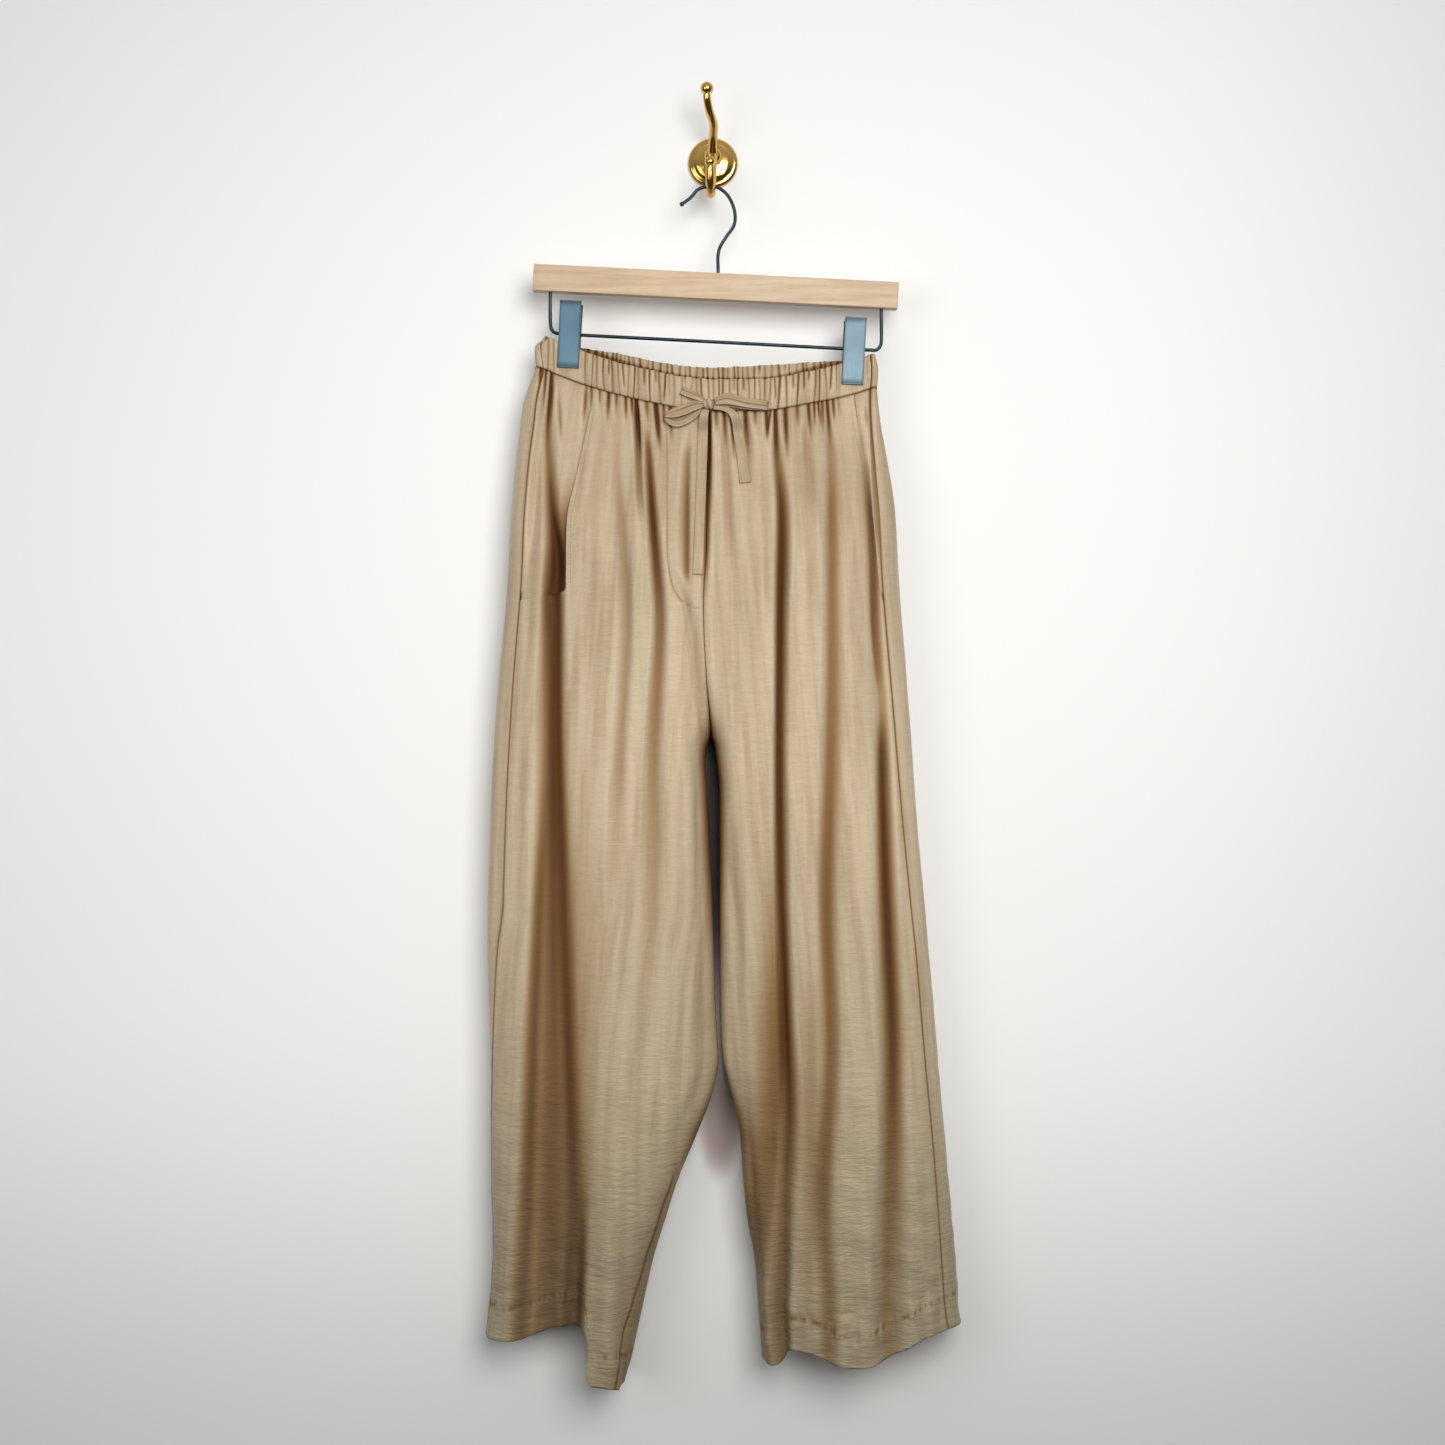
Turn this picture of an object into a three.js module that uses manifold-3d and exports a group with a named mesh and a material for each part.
// Wide cropped trousers on a clip hanger that hangs from a brass wall hook, in millimetres.
// X is to the viewer's right, Z is up, the wall is the plane Y = 0 and the front faces -Y.
// The origin is the middle of the rosette's back face. "down" is the distance below the origin.
// side -1 is the wearer's right leg (at -X), side +1 the wearer's left leg (at +X).
import * as THREE from "three";
import { mergeVertices } from "three/addons/utils/BufferGeometryUtils.js";
import Module from "manifold-3d";

const MID = -46; // the plane that the garment and the hanger hang in
const CLOTH = 1.5; // cloth wall
const HEM_CLOTH = 2.5; // folded cloth of the hem
const HEM_DEPTH = 32;
const SEAM_GAP = 0.3; // between two pieces at a seam
const BAND_HEIGHT = 33.5;
const CROTCH = 584; // down
const CROTCH_RADIUS = 78; // the rise curves under over this height
const ROUNDNESS = 2.2; // exponent of the section's rounded ends
const FRONT_COLUMNS = 36; // two per gather
const BACK_COLUMNS = 24;
const BAND_COLUMNS = 92;
const GATHER = 1.5; // half the height of a gather at the seam
const BAND_GATHER = 1.0;

const TILT = THREE.MathUtils.degToRad(2.9); // the hanger hangs lower at the viewer's right
const BAR = { x: 2.9, z: -136.7, length: 364.5, height: 26.6, depth: 12.5, edge: 1.6 };
const WIRE = 1.7; // radius of the hanger's hook wire
const RAIL = 1.75; // radius of the rail wire
const BORE = 2.1; // radius of the bores that the wires stand in
const CLIP = { width: 21.5, height: 66, thick: 1.9, jaw: 3.2, tab: 9.5, barrel: 4.6 };
const CLIP_PLACES = [
  { name: "right", x: -142.8, z: -184.9, rail: -183.9 },
  { name: "left", x: 140.8, z: -201.6, rail: -198.6 },
];
const ROSETTE = { radius: 25.3, rim: 2.6, dome: 8.5 };

// Outline of the garment from the front: x of the side folds at a height.
const OUTLINE = [
  { down: 184, right: -167, left: 158 },
  { down: 198, right: -176.2, left: 160 },
  { down: 219, right: -177, left: 163.2 },
  { down: 236, right: -183.5, left: 163.6 },
  { down: 249, right: -188, left: 164.4 },
  { down: 279, right: -192, left: 168.2 },
  { down: 309, right: -196, left: 173.2 },
  { down: 369, right: -201, left: 181.2 },
  { down: 429, right: -205, left: 185.4 },
  { down: 549, right: -215, left: 195.4 },
  { down: 669, right: -221.6, left: 205.2 },
  { down: 789, right: -224.6, left: 216.2 },
  { down: 909, right: -223, left: 225.4 },
  { down: 1029, right: -221.8, left: 235.2 },
  { down: 1089, right: -220, left: 239.4 },
  { down: 1149, right: -223, left: 243.6 },
  { down: 1181, right: -227, left: 248 },
  { down: 1240, right: -229, left: 250 },
];
// Inner edge of each leg below the crotch.
const INSIDE = [
  { down: 584, right: -2, left: -2 },
  { down: 592, right: -4.6, left: 0.6 },
  { down: 609, right: -6.6, left: 3.2 },
  { down: 639, right: -4.8, left: 6.0 },
  { down: 699, right: -1.8, left: 6.2 },
  { down: 789, right: 1.4, left: 6.8 },
  { down: 850, right: 3.0, left: 7.2 },
  { down: 890, right: 5.2, left: 8.2 },
  { down: 907, right: 6.4, left: 9.6 },
  { down: 934, right: 2.2, left: 16 },
  { down: 979, right: -14, left: 26.4 },
  { down: 1029, right: -34.8, left: 30 },
  { down: 1064, right: -45.8, left: 33.5 },
  { down: 1106, right: -58.8, left: 41 },
  { down: 1151, right: -68.8, left: 44.6 },
  { down: 1197, right: -78.8, left: 48 },
  { down: 1240, right: -88.5, left: 51 },
];
// Centre seams between the waist and the crotch.
const CENTRE = [
  { down: 262, x: -5 },
  { down: 390, x: -6 },
  { down: 459, x: -9 },
  { down: 530, x: -6 },
  { down: 584, x: -2 },
];
// How far the side seam lies in from the outline, on the front.
const SIDE_SEAM = [
  { down: 190, right: 4, left: 4 },
  { down: 219, right: 8, left: 5 },
  { down: 254, right: 13, left: 8 },
  { down: 362, right: 14, left: 16 },
  { down: 442, right: 16, left: 18 },
  { down: 749, right: 17, left: 17 },
  { down: 800, right: 11, left: 16 },
  { down: 908, right: 4, left: 15 },
  { down: 999, right: 1.5, left: 14 },
  { down: 1240, right: 1.5, left: 14 },
];
// Half of the garment's depth, in front of and behind its middle.
const DEPTH = [
  { down: 230, front: 30, back: 28 },
  { down: 380, front: 40, back: 34 },
  { down: 584, front: 41, back: 36 },
  { down: 900, front: 40, back: 36 },
  { down: 1100, front: 43, back: 36 },
  { down: 1240, front: 46, back: 36 },
];
// Half of the depth at the waistband, which the clips pinch shut.
const PINCH = [
  { x: -177, half: 6.5 },
  { x: -165, half: 5 },
  { x: -156, half: 2.7 },
  { x: -130, half: 2.7 },
  { x: -106, half: 7.5 },
  { x: -60, half: 13 },
  { x: 0, half: 14.5 },
  { x: 60, half: 13 },
  { x: 102, half: 7.5 },
  { x: 127, half: 2.7 },
  { x: 153, half: 2.7 },
  { x: 160, half: 4.5 },
  { x: 164, half: 5 },
];
// Seam between the waistband and the panels, and how much higher it lies at the back.
const WAIST_SEAM = [
  { x: -178, down: 217, rise: 0 },
  { x: -153, down: 225.2, rise: 0.5 },
  { x: -127, down: 234.8, rise: 3 },
  { x: -89, down: 246.9, rise: 8.5 },
  { x: -58, down: 254.2, rise: 9.5 },
  { x: -30, down: 259.7, rise: 10.5 },
  { x: 0, down: 262.2, rise: 11 },
  { x: 54, down: 261.4, rise: 12 },
  { x: 95, down: 254.2, rise: 8 },
  { x: 115, down: 250, rise: 5 },
  { x: 145, down: 242.4, rise: 0.5 },
  { x: 164, down: 237, rise: 0 },
];
// Slanted pocket edges; below the last row the panel starts at the side seam.
const POCKET = [
  { down: 236, right: -119, left: 141 },
  { down: 275, right: -124.8, left: 145 },
  { down: 323, right: -133.8, left: 154 },
  { down: 379, right: -143.5, left: 160 },
  { down: 441, right: -144, left: 165 },
  { down: 451, right: -189, left: 167.6 },
];
// Rows of the pocket facings: how deep each lies behind the front panel, and how far it goes on
// under the slanted edge.
const FACING = [
  { below: 0, deep: 0, under: -0.4 },
  { below: 8, deep: 0.2, under: -0.4 },
  { below: 19, deep: 0.6, under: -0.4 },
  { below: 36, deep: 2.8, under: 0.3 },
  { below: 60, deep: 3.6, under: 8 },
  { below: 94, deep: 3.8, under: 11 },
  { below: 138, deep: 3.8, under: 11 },
  { fixed: 441, deep: 5, under: 11 },
  { fixed: 447, deep: 7.5, under: 11 },
];
// Hems: down at an x, front and back.
const HEM = {
  "-1front": [
    { x: -228, down: 1181 },
    { x: -202, down: 1180 },
    { x: -177, down: 1173 },
    { x: -160, down: 1168.5 },
    { x: -131, down: 1168 },
    { x: -124, down: 1180 },
    { x: -118, down: 1214 },
    { x: -110, down: 1223 },
    { x: -98, down: 1223.5 },
    { x: -85, down: 1227 },
  ],
  "-1back": [
    { x: -228, down: 1181 },
    { x: -190, down: 1178 },
    { x: -135, down: 1174 },
    { x: -116, down: 1192 },
    { x: -85, down: 1227 },
  ],
  "1front": [
    { x: 48, down: 1204 },
    { x: 61, down: 1205.5 },
    { x: 71, down: 1191.5 },
    { x: 80, down: 1188 },
    { x: 99, down: 1191 },
    { x: 118, down: 1200 },
    { x: 133, down: 1203 },
    { x: 154, down: 1201.5 },
    { x: 176, down: 1193 },
    { x: 211, down: 1175.5 },
    { x: 249, down: 1169 },
  ],
  "1back": [
    { x: 48, down: 1204 },
    { x: 110, down: 1196 },
    { x: 180, down: 1184 },
    { x: 249, down: 1169 },
  ],
};
// Folds. A row gives the fold's place at a height: deep > 0 is a trough and < 0 a ridge,
// minus and plus are its widths towards -X and +X.
const FOLDS = {
  front: [
    // the long trough from the wearer's right pocket to the hem
    [
      { down: 250, x: -162, deep: 0, minus: 8, plus: 8 },
      { down: 290, x: -162, deep: 4, minus: 9, plus: 9 },
      { down: 360, x: -158, deep: 6, minus: 12, plus: 12 },
      { down: 419, x: -153, deep: 12, minus: 14, plus: 13 },
      { down: 530, x: -155, deep: 10, minus: 16, plus: 14 },
      { down: 740, x: -153, deep: 10, minus: 20, plus: 16 },
      { down: 949, x: -157, deep: 12, minus: 28, plus: 22 },
      { down: 1060, x: -150, deep: 16, minus: 36, plus: 24 },
      { down: 1130, x: -143, deep: 22, minus: 42, plus: 20 },
      { down: 1240, x: -140, deep: 27, minus: 48, plus: 18 },
    ],
    // the fold that hangs in front at that hem
    [
      { down: 960, x: -100, deep: 0, minus: 16, plus: 18 },
      { down: 1060, x: -106, deep: -4, minus: 14, plus: 18 },
      { down: 1240, x: -104, deep: -9, minus: 14, plus: 18 },
    ],
    [
      { down: 290, x: -98, deep: 0, minus: 8, plus: 8 },
      { down: 350, x: -98, deep: 3, minus: 9, plus: 9 },
      { down: 600, x: -100, deep: 3.5, minus: 11, plus: 11 },
      { down: 950, x: -100, deep: 0, minus: 12, plus: 12 },
    ],
    [
      { down: 256, x: -76, deep: 0, minus: 5, plus: 5 },
      { down: 270, x: -76, deep: 4, minus: 6, plus: 5 },
      { down: 310, x: -74, deep: 4, minus: 6, plus: 6 },
      { down: 380, x: -67, deep: 0, minus: 6, plus: 6 },
    ],
    [
      { down: 285, x: -64, deep: 0, minus: 5, plus: 5 },
      { down: 320, x: -62, deep: 4, minus: 7, plus: 7 },
      { down: 410, x: -55, deep: 7, minus: 9, plus: 9 },
      { down: 470, x: -52, deep: 5, minus: 10, plus: 10 },
      { down: 620, x: -48, deep: 0, minus: 14, plus: 14 },
    ],
    [
      { down: 410, x: -40, deep: 0, minus: 7, plus: 7 },
      { down: 463, x: -25, deep: 3, minus: 8, plus: 8 },
      { down: 540, x: -12, deep: 3, minus: 8, plus: 7 },
      { down: 588, x: -6, deep: 0, minus: 6, plus: 5 },
    ],
    [
      { down: 262, x: -5, deep: 0, minus: 6, plus: 6 },
      { down: 290, x: -5, deep: 3.5, minus: 7, plus: 7 },
      { down: 390, x: -6, deep: 4, minus: 7, plus: 7 },
      { down: 500, x: -9, deep: 0, minus: 7, plus: 7 },
    ],
    [
      { down: 560, x: -28, deep: 0, minus: 14, plus: 12 },
      { down: 640, x: -24, deep: -3, minus: 16, plus: 12 },
      { down: 900, x: -20, deep: -4, minus: 20, plus: 14 },
      { down: 1010, x: -52, deep: 0, minus: 18, plus: 14 },
    ],
    // the narrow trough down the wearer's left leg
    [
      { down: 335, x: 66, deep: 0, minus: 6, plus: 6 },
      { down: 385, x: 66, deep: 6, minus: 7, plus: 7 },
      { down: 460, x: 66, deep: 9, minus: 8, plus: 8 },
      { down: 850, x: 66, deep: 9, minus: 9, plus: 9 },
      { down: 1100, x: 63.5, deep: 7, minus: 9, plus: 10 },
      { down: 1160, x: 67, deep: 8, minus: 10, plus: 11 },
      { down: 1240, x: 73, deep: 9, minus: 11, plus: 13 },
    ],
    [
      { down: 600, x: 27, deep: 0, minus: 12, plus: 12 },
      { down: 720, x: 31, deep: -4, minus: 14, plus: 16 },
      { down: 1000, x: 45, deep: -5, minus: 12, plus: 14 },
      { down: 1240, x: 57, deep: -5, minus: 9, plus: 10 },
    ],
    [
      { down: 290, x: 103, deep: 0, minus: 9, plus: 9 },
      { down: 360, x: 108, deep: 4, minus: 10, plus: 10 },
      { down: 620, x: 114, deep: 6, minus: 13, plus: 13 },
      { down: 1000, x: 116, deep: 6, minus: 14, plus: 14 },
      { down: 1160, x: 108, deep: 4, minus: 14, plus: 16 },
      { down: 1240, x: 100, deep: 3, minus: 14, plus: 16 },
    ],
    [
      { down: 780, x: 166, deep: 0, minus: 16, plus: 14 },
      { down: 900, x: 169, deep: 6, minus: 17, plus: 15 },
      { down: 1060, x: 172, deep: 10, minus: 19, plus: 16 },
      { down: 1240, x: 178, deep: 10, minus: 20, plus: 16 },
    ],
    [
      { down: 350, x: 161, deep: 0, minus: 7, plus: 7 },
      { down: 430, x: 166, deep: 5, minus: 8, plus: 8 },
      { down: 520, x: 171, deep: 3, minus: 9, plus: 9 },
      { down: 640, x: 178, deep: 0, minus: 10, plus: 10 },
    ],
  ],
  back: [
    [
      { down: 250, x: -128, deep: 0, minus: 10, plus: 10 },
      { down: 340, x: -132, deep: 5, minus: 12, plus: 12 },
      { down: 620, x: -146, deep: 8, minus: 18, plus: 16 },
      { down: 980, x: -150, deep: 11, minus: 26, plus: 22 },
      { down: 1240, x: -162, deep: 14, minus: 28, plus: 24 },
    ],
    [
      { down: 262, x: -62, deep: 0, minus: 8, plus: 8 },
      { down: 330, x: -64, deep: 5, minus: 9, plus: 9 },
      { down: 520, x: -72, deep: 6, minus: 13, plus: 13 },
      { down: 860, x: -84, deep: 8, minus: 18, plus: 18 },
      { down: 1060, x: -104, deep: 0, minus: 16, plus: 16 },
    ],
    [
      { down: 258, x: -5, deep: 0, minus: 6, plus: 6 },
      { down: 300, x: -5, deep: 3, minus: 8, plus: 8 },
      { down: 470, x: -8, deep: 5, minus: 10, plus: 10 },
      { down: 560, x: -4, deep: 0, minus: 8, plus: 8 },
    ],
    [
      { down: 270, x: 48, deep: 0, minus: 8, plus: 8 },
      { down: 350, x: 50, deep: 4, minus: 10, plus: 10 },
      { down: 700, x: 62, deep: 8, minus: 16, plus: 16 },
      { down: 1000, x: 84, deep: 8, minus: 16, plus: 18 },
      { down: 1240, x: 96, deep: 7, minus: 16, plus: 18 },
    ],
    [
      { down: 255, x: 112, deep: 0, minus: 9, plus: 9 },
      { down: 360, x: 118, deep: 5, minus: 11, plus: 11 },
      { down: 640, x: 136, deep: 7, minus: 16, plus: 15 },
      { down: 960, x: 160, deep: 9, minus: 20, plus: 18 },
      { down: 1240, x: 182, deep: 12, minus: 24, plus: 20 },
    ],
  ],
};
// Heights of the grid rows: so far below the waist seam, then at fixed heights, then the hem.
const BELOW_SEAM = [0, 8, 19, 36, 60, 94, 138];
const FIXED = [441, 451, 510, 550, 573, 584, 596, 635, 740, 850, 907, 970, 1060];

// The bow: flat tape, 1.3 thick. Paths are [x, distance in front of the band, z].
const TAPE = 1.3;
const KNOT = { x: -3.8, front: 19.9, z: -256.6, wide: 6.2, deep: 3.6, high: 5.2 };

const wasm = await Module();
wasm.setup();
const root = new THREE.Group();
root.name = "trousers_on_hanger";

const material = {};
function paint(name, color, roughness, metalness) {
  material[name] = new THREE.MeshStandardMaterial({ name, color, roughness, metalness });
}
paint("crepe_cloth", 0xb89f7c, 0.55, 0);
paint("beech_wood", 0xdcb68c, 0.6, 0);
paint("dark_wire", 0x2f4450, 0.4, 0.8);
paint("clip_steel", 0x6f8c9c, 0.35, 0.8);
paint("polished_brass", 0xc9922e, 0.18, 1);

function add(name, geometry, slot) {
  const mesh = new THREE.Mesh(geometry, material[slot]);
  mesh.name = name;
  geometry.computeVertexNormals();
  root.add(mesh);
}

const clamp = (v, lo, hi) => Math.min(hi, Math.max(lo, v));
const mix = (a, b, t) => a + (b - a) * t;
const ease = (t) => {
  const u = clamp(t, 0, 1);
  return u * u * (3 - 2 * u);
};

// A smooth curve without overshoot through one column of a table.
function curve(rows, key, column, at) {
  const n = rows.length;
  if (at <= rows[0][key]) return rows[0][column];
  if (at >= rows[n - 1][key]) return rows[n - 1][column];
  let i = 0;
  while (rows[i + 1][key] < at) i += 1;
  const slope = (k) => (rows[k + 1][column] - rows[k][column]) / (rows[k + 1][key] - rows[k][key]);
  const tangent = (k) => {
    if (k === 0 || k === n - 1) return 0;
    const a = slope(k - 1);
    const b = slope(k);
    return a * b <= 0 ? 0 : (2 * a * b) / (a + b);
  };
  const h = rows[i + 1][key] - rows[i][key];
  const t = (at - rows[i][key]) / h;
  const u = 1 - t;
  return (
    (1 + 2 * t) * u * u * rows[i][column] +
    t * u * u * h * tangent(i) +
    t * t * (3 - 2 * t) * rows[i + 1][column] -
    t * t * u * h * tangent(i + 1)
  );
}

const wearer = (side) => (side < 0 ? "right" : "left");
const outer = (side, down) => curve(OUTLINE, "down", wearer(side), down);
const seamDown = (face, x) =>
  curve(WAIST_SEAM, "x", "down", x) - (face === "back" ? curve(WAIST_SEAM, "x", "rise", x) : 0);

function inner(side, down) {
  if (down <= CROTCH) return curve(CENTRE, "down", "x", down);
  return curve(INSIDE, "down", wearer(side), down);
}

// Rounded end of a section: 0 at the edge, 1 from `reach` on.
function rounded(distance, reach) {
  if (distance >= reach) return 1;
  const u = 1 - Math.max(distance, 0) / reach;
  return (1 - u ** ROUNDNESS) ** (1 / ROUNDNESS);
}

// How much of the depth is left at the inner edge: all above the rise's curve, none at the crotch.
function riseShare(down) {
  const t = clamp((CROTCH - down) / CROTCH_RADIUS, 0, 1);
  return Math.sqrt(1 - (1 - t) * (1 - t));
}

function halfDepth(side, face, x, down) {
  const xOut = outer(side, down);
  const xIn = inner(side, down);
  const width = Math.abs(xIn - xOut);
  const below = down - curve(WAIST_SEAM, "x", "down", x);
  const full = curve(DEPTH, "down", face, down);
  const half = mix(curve(PINCH, "x", "half", x), full, ease(below / 175));
  const reach = mix(9, Math.min(width * 0.5, 92), ease((below - 4) / 150));
  const share = riseShare(down);
  const reachIn = mix(24, width * 0.46, ease((down - CROTCH) / 300));
  const inside = share + (1 - share) * rounded(Math.abs(xIn - x), reachIn);
  return half * rounded(Math.abs(x - xOut), reach) * inside;
}

// Half of the section at a height, from the front's inner edge round the outside to the back's.
const FINE = 110;
const rings = new Map();
function ring(side, down) {
  const key = side + "_" + down.toFixed(3);
  if (rings.has(key)) return rings.get(key);
  const xOut = outer(side, down);
  const xIn = inner(side, down);
  const points = [];
  for (let i = -FINE; i <= FINE; i += 1) {
    const t = (1 - Math.cos((Math.PI * Math.abs(i)) / FINE)) / 2;
    const face = i < 0 ? "front" : "back";
    const x = mix(xOut, xIn, t);
    const y = i === 0 ? 0 : halfDepth(side, face, x, down) * (i < 0 ? -1 : 1);
    points.push({ x, y, arc: 0 });
  }
  for (let i = 1; i < points.length; i += 1) {
    const a = points[i - 1];
    const b = points[i];
    // the steep inner side of a leg gets few columns, so that they run on straight past the crotch
    const inward = Math.abs((a.x + b.x) / 2 - xOut) / Math.abs(xIn - xOut);
    b.arc = a.arc + Math.hypot(b.x - a.x, (b.y - a.y) * mix(1, 0.25, ease((inward - 0.5) / 0.3)));
  }
  const inset = curve(SIDE_SEAM, "down", wearer(side), down);
  let seam = FINE;
  while (seam > 1 && Math.abs(points[seam - 1].x - xOut) < inset) seam -= 1;
  const a = points[seam - 1];
  const b = points[seam];
  const t = (inset - Math.abs(b.x - xOut)) / (Math.abs(a.x - xOut) - Math.abs(b.x - xOut));
  const made = { points, seam: mix(b.arc, a.arc, clamp(t, 0, 1)), total: points.at(-1).arc };
  rings.set(key, made);
  return made;
}

// The place on the section at a share of the way from the side seam (0) to the inner edge (1).
function onRing(side, face, share, down) {
  const { points, seam, total } = ring(side, down);
  const arc = face === "front" ? seam * (1 - share) : mix(seam, total, share);
  let lo = 0;
  let hi = points.length - 1;
  while (hi - lo > 1) {
    const m = (lo + hi) >> 1;
    if (points[m].arc <= arc) lo = m;
    else hi = m;
  }
  const a = points[lo];
  const b = points[hi];
  const t = clamp((arc - a.arc) / (b.arc - a.arc), 0, 1);
  return new THREE.Vector3(mix(a.x, b.x, t), MID + mix(a.y, b.y, t), -down);
}

function ringLength(side, face, down) {
  const { seam, total } = ring(side, down);
  return face === "front" ? seam : total - seam;
}

// The smooth form's normal, facing out. On the centre seams and inseams it stays in their plane.
function normalAt(side, face, share, down) {
  const ds = 0.006;
  const dd = 1.2;
  const s0 = Math.max(0, share - ds);
  const s1 = Math.min(1, share + ds);
  const along = onRing(side, face, s1, down).sub(onRing(side, face, s0, down));
  const fall = onRing(side, face, share, down + dd).sub(onRing(side, face, share, down - dd));
  const n = along.cross(fall);
  if (face === "front" ? side < 0 : side > 0) n.negate();
  if (share > 0.999) {
    if (Math.abs(down - CROTCH) < 0.5) return new THREE.Vector3(0, 0, -1);
    if (down < CROTCH) n.x = 0;
    else n.y = 0;
  }
  return n.normalize();
}

function foldDepth(side, face, x, down, fromSeam) {
  let sum = 0;
  for (const rows of FOLDS[face]) {
    const first = rows[0].down;
    const last = rows[rows.length - 1].down;
    if (down < first || down > last) continue;
    const centre = curve(rows, "down", "x", down);
    const reach = curve(rows, "down", x < centre ? "minus" : "plus", down);
    const u = (x - centre) / reach;
    if (Math.abs(u) < 1) sum += curve(rows, "down", "deep", down) * Math.cos((Math.PI * u) / 2) ** 2;
  }
  const edge = face === "front" ? ease(fromSeam / 13) : ease((fromSeam - 6) / 20);
  const edgeShare = 1 - riseShare(down);
  const inside = mix(1, ease((Math.abs(x - inner(side, down)) - 1) / 12), edgeShare);
  return sum * edge * inside;
}

// Uneven numbers between 0 and 1, the same ones each time.
const uneven = (i, seed) => 0.5 + 0.5 * Math.sin(i * 2.399 + seed * 1.7 + Math.sin(i * 1.13 + seed));

const clipNear = (x) => Math.min(...CLIP_PLACES.map((c) => Math.abs(x - c.x)));

// A closed wall from two grids of points, outside and inside.
function wall(out, inn) {
  const rows = out.length;
  const columns = out[0].length;
  const position = [];
  const index = [];
  for (const grid of [out, inn])
    for (const row of grid) for (const p of row) position.push(p.x, p.y, p.z);
  const at = (layer, r, c) => layer * rows * columns + r * columns + c;
  const quad = (a, b, c, d) => index.push(a, b, c, a, c, d);
  for (let r = 0; r < rows - 1; r += 1)
    for (let c = 0; c < columns - 1; c += 1) {
      quad(at(0, r, c), at(0, r, c + 1), at(0, r + 1, c + 1), at(0, r + 1, c));
      quad(at(1, r, c), at(1, r + 1, c), at(1, r + 1, c + 1), at(1, r, c + 1));
    }
  for (let c = 0; c < columns - 1; c += 1) {
    quad(at(1, 0, c), at(1, 0, c + 1), at(0, 0, c + 1), at(0, 0, c));
    const r = rows - 1;
    quad(at(0, r, c), at(0, r, c + 1), at(1, r, c + 1), at(1, r, c));
  }
  for (let r = 0; r < rows - 1; r += 1) {
    quad(at(0, r, 0), at(0, r + 1, 0), at(1, r + 1, 0), at(1, r, 0));
    const c = columns - 1;
    quad(at(1, r, c), at(1, r + 1, c), at(0, r + 1, c), at(0, r, c));
  }
  return closed(position, index);
}

// A geometry from points and triangles: equal points are joined, and it is turned to face out.
function closed(points, triangles) {
  const seen = new Map();
  const position = [];
  const place = [];
  for (let i = 0; i < points.length; i += 3) {
    const key = points.slice(i, i + 3).map((v) => v.toFixed(3)).join();
    if (!seen.has(key)) {
      seen.set(key, position.length / 3);
      position.push(points[i], points[i + 1], points[i + 2]);
    }
    place.push(seen.get(key));
  }
  const index = [];
  for (let i = 0; i < triangles.length; i += 3) {
    const [a, b, c] = [0, 1, 2].map((k) => place[triangles[i + k]]);
    if (a !== b && b !== c && a !== c) index.push(a, b, c);
  }
  let volume = 0;
  const p = (i) => new THREE.Vector3(position[3 * i], position[3 * i + 1], position[3 * i + 2]);
  for (let i = 0; i < index.length; i += 3)
    volume += p(index[i]).dot(p(index[i + 1]).cross(p(index[i + 2])));
  if (volume < 0)
    for (let i = 0; i < index.length; i += 3)
      [index[i + 1], index[i + 2]] = [index[i + 2], index[i + 1]];
  const geometry = new THREE.BufferGeometry();
  geometry.setAttribute("position", new THREE.Float32BufferAttribute(position, 3));
  geometry.setIndex(index);
  return geometry;
}

// The share of a panel's width that an x on its front has.
function shareAt(side, x, down) {
  let lo = 0;
  let hi = 1;
  for (let k = 0; k < 24; k += 1) {
    const m = (lo + hi) / 2;
    const past = (onRing(side, "front", m, down).x - x) * side < 0;
    if (past) hi = m;
    else lo = m;
  }
  return (lo + hi) / 2;
}

// The height of a row at a share: follows the waist seam, a fixed height, or the hem.
function rowDown(side, face, share, row) {
  if (row.fixed !== undefined) return row.fixed;
  if (row.hem !== undefined) {
    const x = onRing(side, face, share, 1190).x;
    return curve(HEM[side + face], "x", "down", x) - row.hem;
  }
  let down = 240;
  for (let k = 0; k < 8; k += 1) {
    const x = onRing(side, face, share, down + row.below).x;
    down = seamDown(face, x);
  }
  return down + SEAM_GAP / 2 + row.below;
}

function panelRows() {
  const rows = BELOW_SEAM.map((below) => ({ below }));
  for (const fixed of FIXED) rows.push({ fixed });
  rows.push({ hem: HEM_DEPTH }, { hem: 0 });
  return rows;
}

function point(side, face, share, down, lift, shift) {
  const p = onRing(side, face, share, down);
  const n = normalAt(side, face, share, down);
  const fromSeam = share * ringLength(side, face, down);
  p.addScaledVector(n, lift - foldDepth(side, face, p.x, down, fromSeam));
  if (share > 0.999) {
    if (down <= CROTCH + 0.5) p.x += (side * SEAM_GAP) / 2;
    if (down >= CROTCH - 0.5) p.y += ((face === "front" ? -1 : 1) * SEAM_GAP) / 2;
  }
  return shift ? p.add(shift) : p;
}

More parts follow.
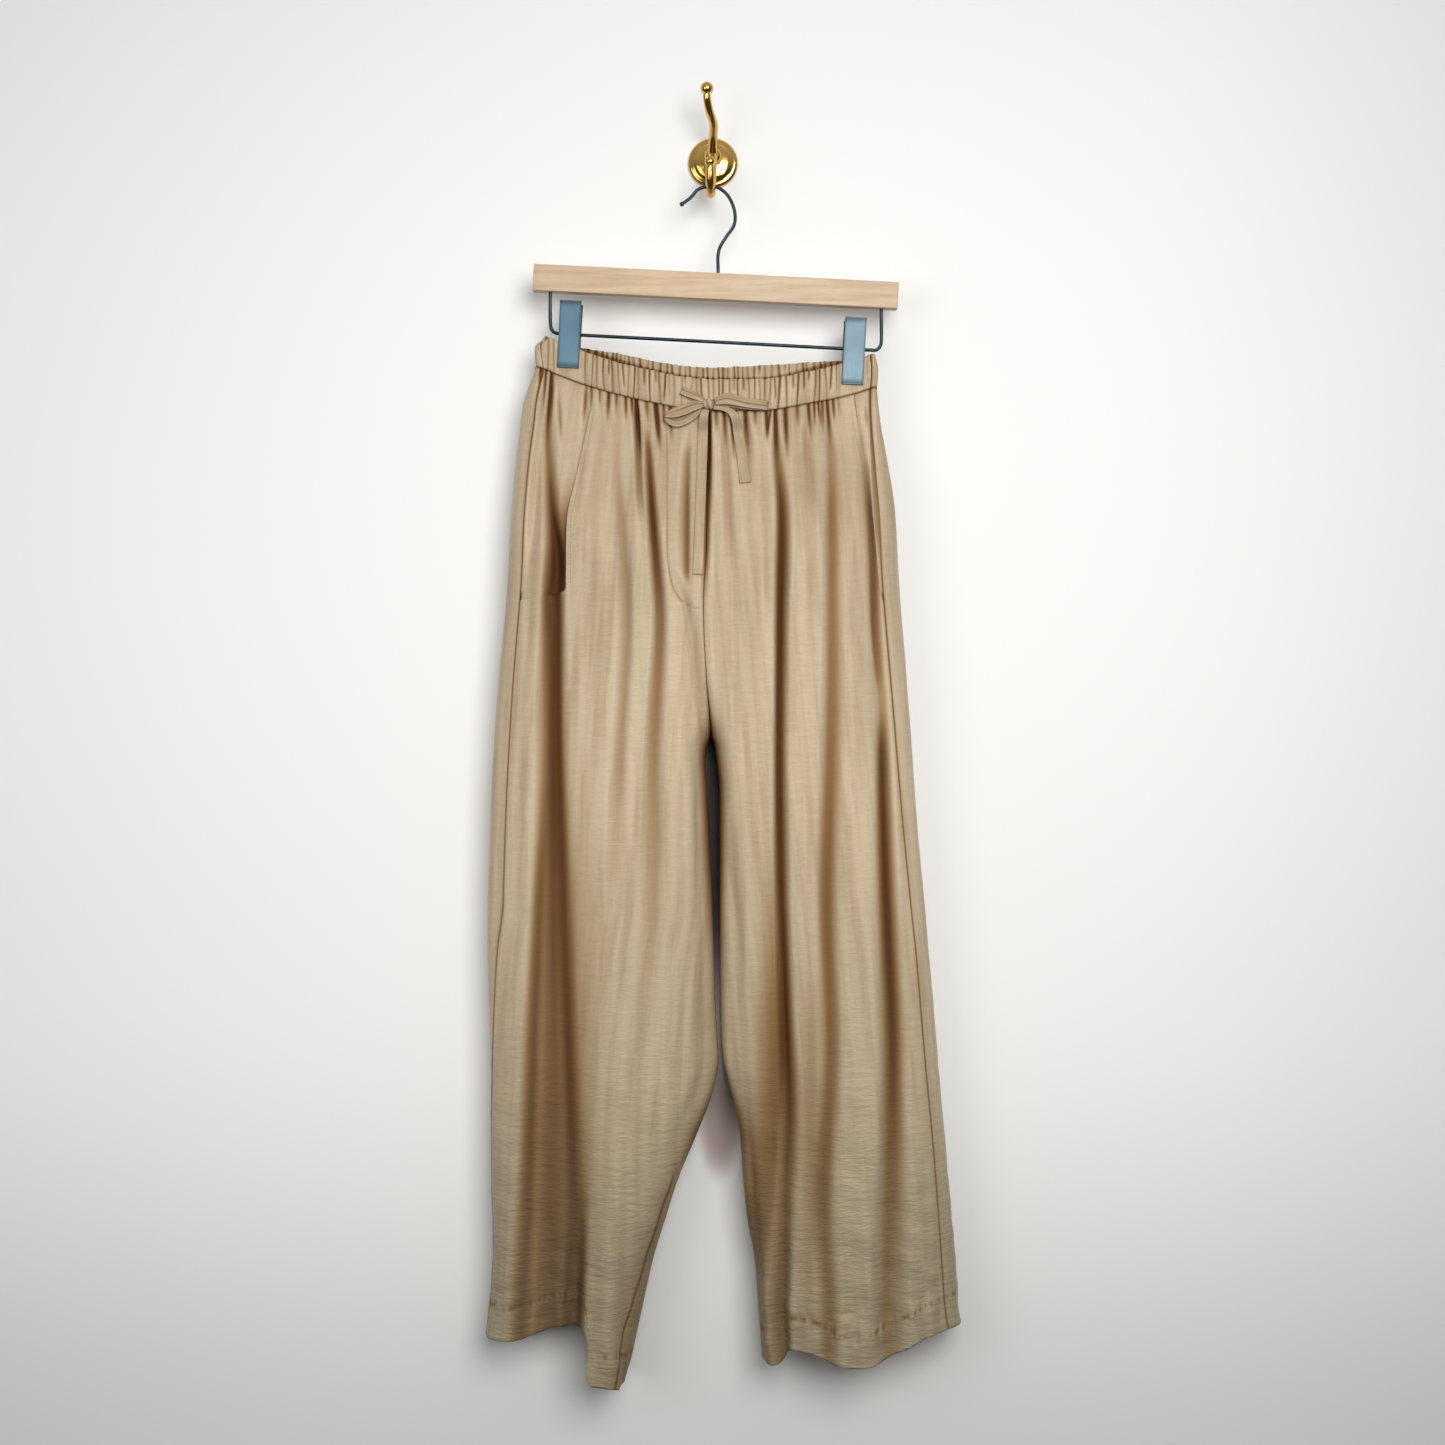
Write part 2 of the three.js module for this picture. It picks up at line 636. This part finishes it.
function panel(side, face) {
  const columns = face === "front" ? FRONT_COLUMNS : BACK_COLUMNS;
  const rows = panelRows();
  const outside = [];
  const inside = [];
  rows.forEach((row, r) => {
    const outRow = [];
    const inRow = [];
    for (let c = 0; c <= columns; c += 1) {
      let share = c / columns;
      let down = rowDown(side, face, share, row);
      let start = 0;
      // the front panel is cut away along the pocket's slanted edge
      if (face === "front" && down < POCKET.at(-1).down - 0.5) {
        for (let k = 0; k < 4; k += 1) {
          start = shareAt(side, curve(POCKET, "down", wearer(side), down), down);
          share = Math.max(start, c / columns);
          down = rowDown(side, face, share, row);
        }
      }
      const fromEdge = c - start * columns;
      const gap = SEAM_GAP / 2 / ringLength(side, face, down);
      share = mix(gap, 1, share);
      const below = row.below === undefined ? 999 : row.below;
      const fade = 1 - ease(below / (50 + 70 * uneven(c >> 1, side + 3)));
      const edge = c === columns ? 0 : ease((fromEdge - 0.4) / 2);
      const strength = GATHER * (0.55 + 0.65 * uneven(c >> 1, side));
      // the clips press the gathers flat
      const free = ease((clipNear(onRing(side, face, share, down).x) - 13) / 10 + below / 60);
      const wave = (c % 2 ? -1 : 1) * strength * fade * edge * free;
      const thick = row.hem === undefined ? CLOTH : HEM_CLOTH;
      outRow.push(point(side, face, share, down, wave));
      inRow.push(point(side, face, share, down, wave - thick));
    }
    outside.push(outRow);
    inside.push(inRow);
  });
  return wall(outside, inside);
}

// The piece behind the slanted pocket edge.
function pocketFacing(side) {
  const columns = 6;
  const outside = [];
  const inside = [];
  for (const row of FACING) {
    const outRow = [];
    const inRow = [];
    for (let c = 0; c <= columns; c += 1) {
      let down = row.fixed || 240 + row.below;
      let share = 0;
      for (let k = 0; k < 5; k += 1) {
        const length = ringLength(side, "front", down);
        const edge = shareAt(side, curve(POCKET, "down", wearer(side), down), down);
        share = mix(SEAM_GAP / 2 / length, edge + row.under / length, c / columns);
        down = rowDown(side, "front", share, row);
      }
      const deep = c === 0 ? 0 : row.deep;
      outRow.push(point(side, "front", share, down, -deep));
      inRow.push(point(side, "front", share, down, -deep - CLOTH));
    }
    outside.push(outRow);
    inside.push(inRow);
  }
  return wall(outside, inside);
}

// Half of the waistband's ring, gathered on its elastic.
function waistband(face) {
  const heights = [0, 12, BAND_HEIGHT];
  const outside = [];
  const inside = [];
  for (const height of heights) {
    const outRow = [];
    const inRow = [];
    for (let c = 0; c <= BAND_COLUMNS; c += 1) {
      const side = c <= BAND_COLUMNS / 2 ? -1 : 1;
      const t = Math.abs(c / BAND_COLUMNS - 0.5) * 2;
      let share = 1 - t;
      let down = 230;
      for (let k = 0; k < 8; k += 1) {
        share = Math.max(1 - t, SEAM_GAP / ringLength(side, face, down));
        const x = onRing(side, face, share, down).x;
        down = seamDown(face, x) - SEAM_GAP / 2 - height;
      }
      const p = onRing(side, face, share, down);
      const free = ease((clipNear(p.x) - 12.5) / 7);
      const ends = ease(Math.min(c, BAND_COLUMNS - c) / 3);
      const strength = BAND_GATHER * (0.6 + 0.6 * uneven(c >> 1, 5));
      const wave = (c % 2 ? -1 : 1) * strength * free * ends;
      const puff = 1.3 * Math.sin((Math.PI * height) / BAND_HEIGHT) * free * ends;
      const n = normalAt(side, face, Math.min(share, 0.99), down);
      n.z = 0;
      n.normalize();
      outRow.push(p.clone().addScaledVector(n, wave + puff));
      inRow.push(p.clone().addScaledVector(n, wave + puff - CLOTH));
    }
    outside.push(outRow);
    inside.push(inRow);
  }
  return wall(outside, inside);
}

// A round bar along a smooth line through the given points; radii may change along it.
function rod(points, radii, sides, steps) {
  const line = new THREE.CatmullRomCurve3(
    points.map((p) => new THREE.Vector3(...p)),
    false,
    "centripetal",
  );
  const places = [];
  const turns = [];
  for (let i = 0; i <= steps; i += 1) {
    places.push(line.getPoint(i / steps));
    turns.push(line.getTangent(i / steps));
  }
  const position = [];
  const index = [];
  let across = new THREE.Vector3(0, 1, 0).cross(turns[0]);
  if (across.length() < 0.3) across = new THREE.Vector3(1, 0, 0).cross(turns[0]);
  places.forEach((place, i) => {
    across.addScaledVector(turns[i], -across.dot(turns[i])).normalize();
    const up = turns[i].clone().cross(across);
    const f = (i / steps) * (radii.length - 1);
    const k = Math.min(radii.length - 2, Math.floor(f));
    const radius = mix(radii[k], radii[k + 1], f - k);
    for (let s = 0; s < sides; s += 1) {
      const a = (2 * Math.PI * s) / sides;
      const p = place.clone();
      p.addScaledVector(across, radius * Math.cos(a)).addScaledVector(up, radius * Math.sin(a));
      position.push(p.x, p.y, p.z);
    }
  });
  for (let i = 0; i < steps; i += 1)
    for (let s = 0; s < sides; s += 1) {
      const a = i * sides + s;
      const b = i * sides + ((s + 1) % sides);
      index.push(a, b, b + sides, a, b + sides, a + sides);
    }
  const last = steps * sides;
  for (let s = 1; s < sides - 1; s += 1) {
    index.push(0, s + 1, s);
    index.push(last, last + s, last + s + 1);
  }
  return closed(position, index);
}

function solid(geometry) {
  const merged = mergeVertices(
    new THREE.BufferGeometry()
      .setAttribute("position", geometry.getAttribute("position"))
      .setIndex(geometry.getIndex()),
    1e-3,
  );
  return new wasm.Manifold(
    new wasm.Mesh({
      numProp: 3,
      vertProperties: new Float32Array(merged.attributes.position.array),
      triVerts: new Uint32Array(merged.index.array),
    }),
  );
}

function geometryOf(made) {
  const mesh = made.getMesh();
  const position = [];
  for (let i = 0; i < mesh.numVert; i += 1)
    position.push(...mesh.vertProperties.subarray(i * mesh.numProp, i * mesh.numProp + 3));
  return closed(position, [...mesh.triVerts]);
}

const ball = (x, y, z, radius, detail) =>
  solid(new THREE.SphereGeometry(radius, detail, detail / 2).translate(x, y, z));

// A turned piece about the Y axis, from [radius, y] pairs that start and end on the axis.
function turned(profile, sides, x, z) {
  const g = new THREE.LatheGeometry(
    profile.map(([r, h]) => new THREE.Vector2(r, h)),
    sides,
  );
  g.translate(0, 0, 0);
  g.applyMatrix4(new THREE.Matrix4().makeTranslation(x, 0, z));
  const merged = mergeVertices(
    new THREE.BufferGeometry()
      .setAttribute("position", g.getAttribute("position"))
      .setIndex(g.getIndex()),
    1e-3,
  );
  const index = [];
  const old = [...merged.index.array];
  for (let i = 0; i < old.length; i += 3)
    if (old[i] !== old[i + 1] && old[i + 1] !== old[i + 2] && old[i] !== old[i + 2])
      index.push(old[i], old[i + 1], old[i + 2]);
  return closed([...merged.attributes.position.array], index);
}

// Wall hook
const rosette = [
  [0, 0],
  [ROSETTE.radius, 0],
  [ROSETTE.radius, -ROSETTE.rim],
  [ROSETTE.radius - 1.8, -ROSETTE.rim - 1.6],
  [ROSETTE.radius - 5.5, -ROSETTE.rim - 2.2],
  [ROSETTE.radius - 7, -ROSETTE.rim - 3.6],
  [ROSETTE.radius - 12, -ROSETTE.dome + 0.8],
  [10, -ROSETTE.dome],
  [0, -ROSETTE.dome],
];
add("wall_rosette", turned(rosette, 32, 0, 0), "polished_brass");

const boss = solid(
  turned(
    [
      [0, -ROSETTE.dome - SEAM_GAP],
      [9.4, -ROSETTE.dome - SEAM_GAP],
      [9.4, -ROSETTE.dome - 3.5],
      [7.8, -ROSETTE.dome - 6.5],
      [4, -ROSETTE.dome - 9],
      [0, -ROSETTE.dome - 9.6],
    ],
    24,
    0,
    4.5,
  ),
);
const upperArm = rod(
  [
    [0, -14.5, 4.5],
    [-0.2, -19, 10.5],
    [0.3, -27, 20],
    [0.7, -38, 28.6],
    [-3.4, -50, 38.7],
    [-5.7, -56, 48.5],
    [-5.8, -57.5, 56],
  ],
  [5.6, 4.8, 4.4, 4.3, 4.2, 4, 3.8],
  10,
  12,
);
const lowerArm = rod(
  [
    [0, -14.5, 4.5],
    [-0.6, -20.5, -4],
    [-1.2, -27, -18],
    [-1.6, -34, -34],
    [-2, -46, -42.6],
    [-2.4, -58, -36],
    [-2.7, -62.5, -24],
    [-2.7, -62.5, -17.5],
  ],
  [5.6, 5.2, 5, 5, 4.9, 4.7, 4.4, 4.1],
  10,
  14,
);
const hook = boss
  .add(solid(upperArm))
  .add(solid(lowerArm))
  .add(ball(-5.8, -58, 58.3, 6.5, 12))
  .add(ball(-2.7, -62.5, -15.8, 5.4, 12));
add("wall_hook", geometryOf(hook), "polished_brass");

// Hanger
const turn = (x, z) => {
  const c = Math.cos(TILT);
  const s = Math.sin(TILT);
  return [BAR.x + x * c + z * s, BAR.z - x * s + z * c];
};
const hangerWire = [
  [-30.8, -53.5],
  [-22.3, -47.2],
  [-15.8, -39.8],
  [-10, -37],
  [-1.8, -35.6],
  [6.8, -37.8],
  [15.2, -45.2],
  [20.6, -56.2],
  [22.4, -66.9],
  [20.6, -76],
  [14.2, -85.2],
  [7.6, -95.9],
  [5.2, -105.2],
  [5.3, -118],
  [5.5, -133],
];
const wire = solid(
  rod(
    hangerWire.map(([x, z]) => [x, MID, z]),
    [WIRE, WIRE],
    8,
    32,
  ),
);
add("hanger_hook", geometryOf(wire.add(ball(-30.8, MID, -53.5, 2.4, 8))), "dark_wire");

const railPath = [
  [-165.1, 4],
  [-164.7, -18],
  [-163.2, -44],
  [-160.6, -51.6],
  [-154, -54.2],
  [-133, -54.5],
  [0, -54.6],
  [128, -54.8],
  [155, -54.9],
  [163.4, -54.4],
  [167.4, -50],
  [168, -42],
  [166.6, -18],
  [166.2, 4],
].map(([x, z]) => {
  const [px, pz] = turn(x, z);
  return [px, MID, pz];
});
add("hanger_rail", rod(railPath, [RAIL, RAIL], 8, 30), "dark_wire");

const bevelled = new THREE.Shape();
const halfLength = BAR.length / 2;
const halfHeight = BAR.height / 2;
bevelled.moveTo(-halfLength, -halfHeight + BAR.edge);
bevelled.lineTo(-halfLength + BAR.edge, -halfHeight);
bevelled.lineTo(halfLength - BAR.edge, -halfHeight);
bevelled.lineTo(halfLength, -halfHeight + BAR.edge);
bevelled.lineTo(halfLength, halfHeight - BAR.edge);
bevelled.lineTo(halfLength - BAR.edge, halfHeight);
bevelled.lineTo(-halfLength + BAR.edge, halfHeight);
bevelled.lineTo(-halfLength, halfHeight - BAR.edge);
bevelled.closePath();
const board = new THREE.ExtrudeGeometry(bevelled, {
  depth: BAR.depth - 2 * BAR.edge,
  bevelEnabled: true,
  bevelThickness: BAR.edge,
  bevelSize: BAR.edge,
  bevelOffset: -BAR.edge,
  bevelSegments: 1,
});
board.translate(0, 0, -BAR.depth / 2 + BAR.edge);
board.rotateX(Math.PI / 2);
board.rotateY(TILT);
board.translate(BAR.x, MID, BAR.z);
const bore = (x, z, length, lean) => {
  const g = new THREE.CylinderGeometry(BORE, BORE, length, 16);
  g.rotateX(Math.PI / 2);
  g.rotateY(lean);
  g.translate(x, MID, z);
  return solid(g);
};
const indexed = (g) => {
  const plain = new THREE.BufferGeometry().setAttribute("position", g.getAttribute("position"));
  return g.index ? plain.setIndex(g.index) : mergeVertices(plain, 1e-3);
};
const [leftX, leftZ] = turn(-165.1, -5);
const [rightX, rightZ] = turn(166.3, -5);
const bar = solid(indexed(board))
  .subtract(bore(5.4, -124, 20, 0))
  .subtract(bore(leftX, leftZ, 20, TILT))
  .subtract(bore(rightX, rightZ, 20, TILT));
add("hanger_bar", geometryOf(bar), "beech_wood");

// Clips: a front and a back plate that lean apart above the rail, and a barrel round it
function clipPlate(place, towards) {
  const half = CLIP.height / 2;
  const section = [
    [-half, CLIP.jaw],
    [-half * 0.55, CLIP.jaw + 0.3],
    [0, CLIP.barrel + 0.35],
    [half * 0.5, CLIP.tab - 2],
    [half, CLIP.tab],
  ];
  const position = [];
  const index = [];
  section.forEach(([z, y]) => {
    for (const [x, extra] of [
      [-CLIP.width / 2, 0.5],
      [CLIP.width / 2, 0.5],
      [CLIP.width / 2, CLIP.thick],
      [-CLIP.width / 2, CLIP.thick],
    ]) {
      const spin = new THREE.Vector3(x, towards * (y + (extra > 1 ? extra : 0)), z);
      spin.applyAxisAngle(new THREE.Vector3(0, 1, 0), TILT);
      position.push(place.x + spin.x, MID + spin.y, place.z + spin.z);
    }
  });
  const n = section.length;
  for (let i = 0; i < n - 1; i += 1)
    for (let k = 0; k < 4; k += 1) {
      const a = 4 * i + k;
      const b = 4 * i + ((k + 1) % 4);
      index.push(a, b, b + 4, a, b + 4, a + 4);
    }
  index.push(0, 2, 1, 0, 3, 2);
  const e = 4 * (n - 1);
  index.push(e, e + 1, e + 2, e, e + 2, e + 3);
  return closed(position, index);
}

function barrel(place) {
  const g = new THREE.CylinderGeometry(CLIP.barrel, CLIP.barrel, CLIP.width - 3, 20);
  const hole = new THREE.CylinderGeometry(RAIL + 0.42, RAIL + 0.42, CLIP.width + 4, 14);
  const parts = [g, hole].map((c) => {
    c.rotateZ(Math.PI / 2);
    c.rotateY(TILT);
    c.translate(place.x, MID, place.rail);
    return solid(c);
  });
  return geometryOf(parts[0].subtract(parts[1]));
}

for (const place of CLIP_PLACES) {
  add("clip_" + place.name + "_front", clipPlate(place, -1), "clip_steel");
  add("clip_" + place.name + "_back", clipPlate(place, 1), "clip_steel");
  add("clip_" + place.name + "_barrel", barrel(place), "clip_steel");
}

// Trousers
for (const side of [-1, 1]) {
  add("front_panel_" + wearer(side), panel(side, "front"), "crepe_cloth");
  add("back_panel_" + wearer(side), panel(side, "back"), "crepe_cloth");
  add("pocket_facing_" + wearer(side), pocketFacing(side), "crepe_cloth");
}
add("waistband_front", waistband("front"), "crepe_cloth");
add("waistband_back", waistband("back"), "crepe_cloth");

// The tie's bow: a flat tape along a path, `wide` across it.
function tape(rows, thick) {
  const outside = [];
  const inside = [];
  rows.forEach((row, i) => {
    const here = new THREE.Vector3(row.x, MID - row.front, row.z);
    const a = rows[Math.max(0, i - 1)];
    const b = rows[Math.min(rows.length - 1, i + 1)];
    const along = new THREE.Vector3(b.x - a.x, a.front - b.front, b.z - a.z).normalize();
    const lean = row.lean || 0;
    const cross = new THREE.Vector3(...row.across).normalize();
    cross.addScaledVector(along, -cross.dot(along)).normalize();
    const out = cross.clone().cross(along).normalize();
    cross.applyAxisAngle(along, lean);
    out.applyAxisAngle(along, lean);
    const make = (lift) => {
      const line = [];
      for (const k of [-1, -0.35, 0.35, 1]) {
        const p = here.clone().addScaledVector(cross, (k * row.wide) / 2);
        line.push(p.addScaledVector(out, lift + (row.cup || 0) * (1 - k * k)));
      }
      return line;
    };
    outside.push(make(thick / 2));
    inside.push(make(-thick / 2));
  });
  return wall(outside, inside);
}

const knot = new THREE.SphereGeometry(1, 12, 8);
knot.scale(KNOT.wide, KNOT.deep, KNOT.high);
knot.rotateY(0.35);
knot.translate(KNOT.x, MID - KNOT.front, KNOT.z);
add("tie_knot", geometryOf(solid(knot)), "crepe_cloth");

const upright = [0, 0, 1];
const flat = [1, 0, 0];
add(
  "tie_loop_left",
  tape(
    [
      { x: 2.2, front: 21.6, z: -255.6, wide: 6, across: upright },
      { x: 14, front: 24.2, z: -254.5, wide: 8.5, across: upright },
      { x: 30, front: 24.6, z: -257, wide: 8, across: upright },
      { x: 46, front: 23.6, z: -258.6, wide: 8, across: upright },
      { x: 53.2, front: 21.8, z: -259, wide: 7.6, across: upright },
      { x: 54, front: 20.2, z: -259, wide: 7.6, across: upright },
      { x: 50, front: 19.2, z: -258.6, wide: 7.6, across: upright },
      { x: 34, front: 19.6, z: -256.8, wide: 8, across: upright },
      { x: 16, front: 20.2, z: -254.6, wide: 8, across: upright },
      { x: 3.0, front: 18.6, z: -255, wide: 6, across: upright },
    ],
    TAPE,
  ),
  "crepe_cloth",
);
add(
  "tie_loop_right",
  tape(
    [
      { x: -10.0, front: 21.8, z: -258, wide: 6, across: upright },
      { x: -22, front: 25.4, z: -262, wide: 10, across: upright },
      { x: -36, front: 25.8, z: -267.5, wide: 12.5, across: upright },
      { x: -44, front: 24.4, z: -270.5, wide: 12.5, across: upright },
      { x: -46.6, front: 22.2, z: -271.5, wide: 12, across: upright },
      { x: -43, front: 20.4, z: -270.4, wide: 12, across: upright },
      { x: -30, front: 20, z: -265.8, wide: 10, across: upright },
      { x: -10.8, front: 18.8, z: -258.4, wide: 6, across: upright },
    ],
    TAPE,
  ),
  "crepe_cloth",
);
add(
  "tie_loop_short",
  tape(
    [
      { x: -8.4, front: 22.2, z: -252.8, wide: 5, across: [0.3, 0, 1] },
      { x: -16, front: 22.4, z: -248.6, wide: 6.5, across: [0.3, 0, 1] },
      { x: -24, front: 20.2, z: -246.8, wide: 7, across: [0.2, 0, 1] },
      { x: -31, front: 19, z: -246, wide: 6, across: [0.1, 0, 1] },
    ],
    TAPE,
  ),
  "crepe_cloth",
);
add(
  "tie_tail_right",
  tape(
    [
      { x: -6.6, front: 19.8, z: -261.9, wide: 6.5, across: flat },
      { x: -9, front: 25, z: -272, wide: 9, across: flat },
      { x: -10, front: 31, z: -292, wide: 10, across: flat },
      { x: -11, front: 38, z: -326, wide: 10, across: flat },
      { x: -12.4, front: 42, z: -366, wide: 10, across: flat },
      { x: -13.6, front: 44, z: -400, wide: 10, across: flat },
      { x: -14.6, front: 45, z: -427, wide: 10, across: flat },
    ],
    TAPE,
  ),
  "crepe_cloth",
);
add(
  "tie_tail_left",
  tape(
    [
      { x: 0.9, front: 19.8, z: -261.2, wide: 5.5, across: flat },
      { x: 9, front: 25.5, z: -266, wide: 7, across: [1, 0, 0.25] },
      { x: 17, front: 29.5, z: -277, wide: 9, across: [1, 0, 0.2] },
      { x: 25, front: 34.5, z: -301, wide: 10, across: [1, 0, 0.1] },
      { x: 32.4, front: 39, z: -335, wide: 11, across: [1, 0, 0.08] },
    ],
    TAPE,
  ),
  "crepe_cloth",
);

export default root;
